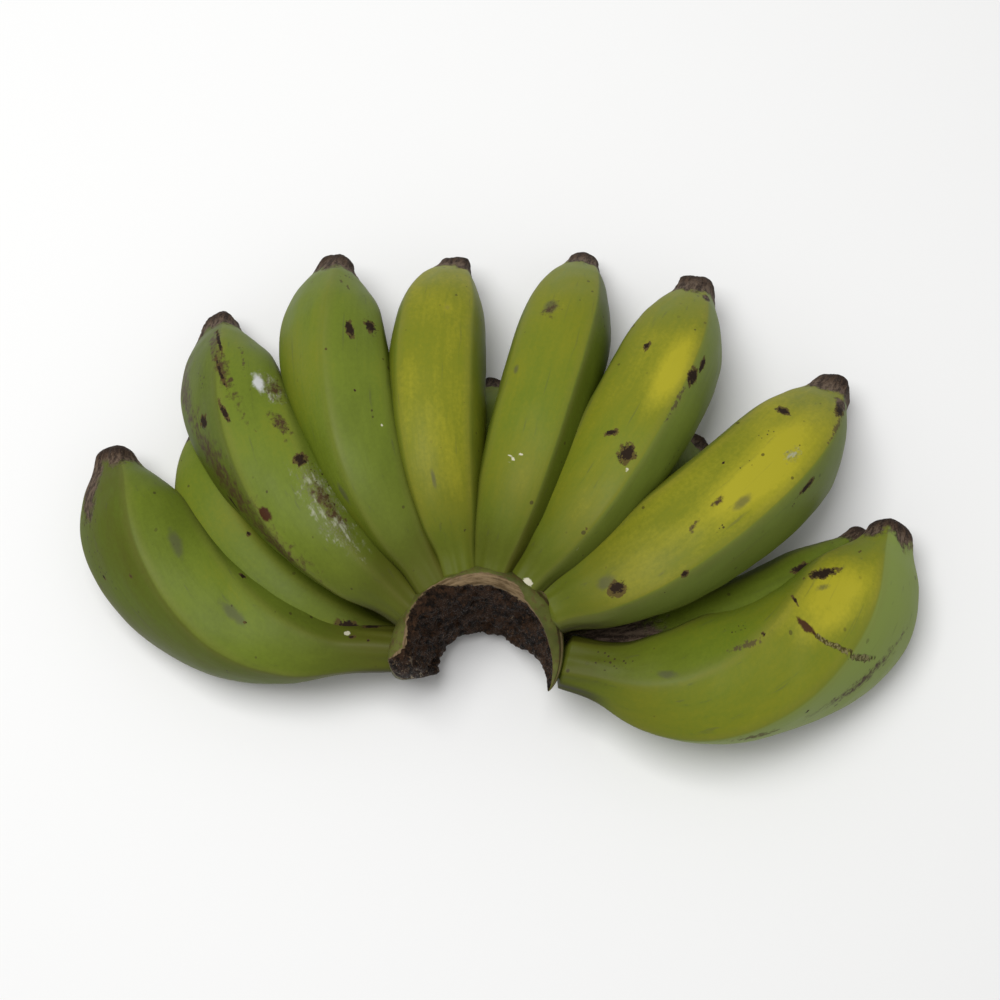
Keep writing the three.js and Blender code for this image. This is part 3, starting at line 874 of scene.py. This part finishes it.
def crown_material(groups):
    """The crown: green skin outside, a tan rim where the knife went through, and dark torn fibres inside."""
    material, tree, shader = new_material("cut crown")
    place = attribute(tree, "flow", "Vector")
    fibres = grouped(tree, groups["fibres"], Place=place, Grain=700.0)["Fibres"]
    mottle = grouped(tree, groups["mottle"], Place=place)
    patches = mottle["Patches"]
    band = {
        name: ragged(tree, groups, attribute(tree, name), place, *edge) for name, edge in BAND_EDGES.items()
    }

    skin = mixed(tree, eased(tree, patches, 0.4, 0.62), CROWN_SKIN, CROWN_SKIN_DARK)
    skin = covered(tree, skin, SCAB_EDGE, eased(tree, mottle["Streaks"], 0.52, 0.66, 0.0, 0.6))
    skin = covered(tree, skin, CROWN_TAN, band["pale_line"], 0.7)
    skin = covered(tree, skin, SPECK_BROWN, band["scar_line"], 0.85)

    sweep = attribute(tree, "sweep", "Vector")
    grain = grouped(tree, groups["fibres"], Place=sweep, Grain=800.0)["Fibres"]
    rim = mixed(tree, eased(tree, grain, 0.36, 0.62), CROWN_TAN_DARK, CROWN_TAN)

    clumps = noise(tree, place, 330.0, 4.0, 0.7, (1, 1, 0.5))
    cut = mixed(tree, eased(tree, clumps, 0.4, 0.6), CROWN_BLACK, CROWN_BROWN)
    cut = covered(tree, cut, CROWN_RUST, eased(tree, fibres, 0.5, 0.66, 0.0, 0.7))
    straw = times(tree, eased(tree, fibres, 0.63, 0.7, 0.0, 0.75), eased(tree, patches, 0.5, 0.62))
    cut = covered(tree, cut, CROWN_STRAW, straw)
    frayed = times(tree, attribute(tree, "frayed"), eased(tree, fibres, 0.57, 0.64))
    cut = covered(tree, cut, CROWN_STRAW, frayed)

    colour = covered(tree, skin, rim, band["past_skin"])
    colour = covered(tree, colour, cut, band["past_rim"])
    glint = eased(tree, mottle["Pores"], 0.5, 0.66, 0.85, 0.35)
    roughness = between(tree, calculate(tree, "MAXIMUM", band["past_skin"], band["past_rim"]), 0.5, glint)
    relief = calculate(tree, "ADD", fibres, clumps)
    relief = times(tree, relief, eased(tree, band["past_rim"], 0.0, 1.0, 0.15, 1.0))
    finish_shader(tree, shader, colour, roughness, 0.135, relief, 0.0018, 1.0)
    return material


# ---------------------------------------------------------------- the whole hand

def build_hand():
    """Both rows of fingers and the crown, each standing for its own solid."""
    groups = {
        "edge": ragged_edge_group(),
        "dots": dots_group(),
        "fibres": fibres_group(),
        "mottle": mottle_group(),
    }
    peel = peel_material(groups)
    quads, fans = grid_faces(ROWS_ALONG, COLUMNS_AROUND)
    for row, fingers, first_seed in (("upper", UPPER_ROW, 0), ("lower", LOWER_ROW, 500)):
        for i, look in enumerate(fingers, 1):
            points, attributes = finger_surface({**PLAIN_LOOK, **look}, first_seed + i * 10, row == "upper")
            piece = make_piece(f"{row}_banana_{i}", points, quads, fans, attributes, peel)
            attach(piece, "root")
            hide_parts(f"{row}_finger_{i}")
    points, attributes = crown_surface()
    quads, fans = grid_faces(CROWN_ROWS, CROWN_COLUMNS)
    piece = make_piece("torn_crown", points, quads, fans, attributes, crown_material(groups))
    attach(piece, "root")
    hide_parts("crown")


# ---------------------------------------------------------------- the studio, in metres

FLOOR_DROP = 0.0002
SKY_STRENGTH = 0.42
LAMP_AT = np.array([-0.3, 0.1, 1.3])
LAMP_ENERGY, LAMP_SIZE = 13.0, 0.7
CAMERA_ELEVATION, CAMERA_DISTANCE = 76, 0.76
CAMERA_AIM = (0.0006, -0.0099, 0.038)


def build_stage():
    """A pale floor, soft light all round and a large lamp at the upper left."""
    bpy.ops.mesh.primitive_plane_add(size=6, location=(0, 0, -FLOOR_DROP))
    floor = bpy.context.object
    floor.name = "floor"
    material, _, shader = new_material("pale floor")
    shader.inputs["Base Color"].default_value = (0.9, 0.9, 0.895, 1)
    shader.inputs["Roughness"].default_value = 0.9
    shader.inputs["Specular IOR Level"].default_value = 0.1
    floor.data.materials.append(material)
    world = bpy.data.worlds.new("soft studio")
    world.use_nodes = True
    world.node_tree.nodes["Background"].inputs["Color"].default_value = (1, 1, 1, 1)
    world.node_tree.nodes["Background"].inputs["Strength"].default_value = SKY_STRENGTH
    bpy.context.scene.world = world
    lamp = bpy.data.lights.new("key lamp", "AREA")
    lamp.energy, lamp.size = LAMP_ENERGY, LAMP_SIZE
    lamp_object = bpy.data.objects.new("key lamp", lamp)
    lamp_object.location = LAMP_AT
    east, north, up = -LAMP_AT
    tip, heading = np.arctan2(np.hypot(east, north), -up), np.arctan2(north, east)
    lamp_object.rotation_euler = (tip, 0, heading - np.pi / 2)
    bpy.context.scene.collection.objects.link(lamp_object)


def build_camera():
    """Looks down at the hand, steeply but not quite straight down."""
    elevation = np.radians(CAMERA_ELEVATION)
    camera = bpy.data.cameras.new("camera")
    camera.lens, camera.sensor_width = 72, 36
    eye = bpy.data.objects.new("camera", camera)
    x, y, z = CAMERA_AIM
    eye.location = (x, y - CAMERA_DISTANCE * np.cos(elevation), z + CAMERA_DISTANCE * np.sin(elevation))
    eye.rotation_euler = (np.radians(90) - elevation, 0, 0)
    bpy.context.scene.collection.objects.link(eye)
    bpy.context.scene.camera = eye
    bpy.context.scene.view_settings.view_transform = "Standard"


build_hand()
build_stage()
build_camera()
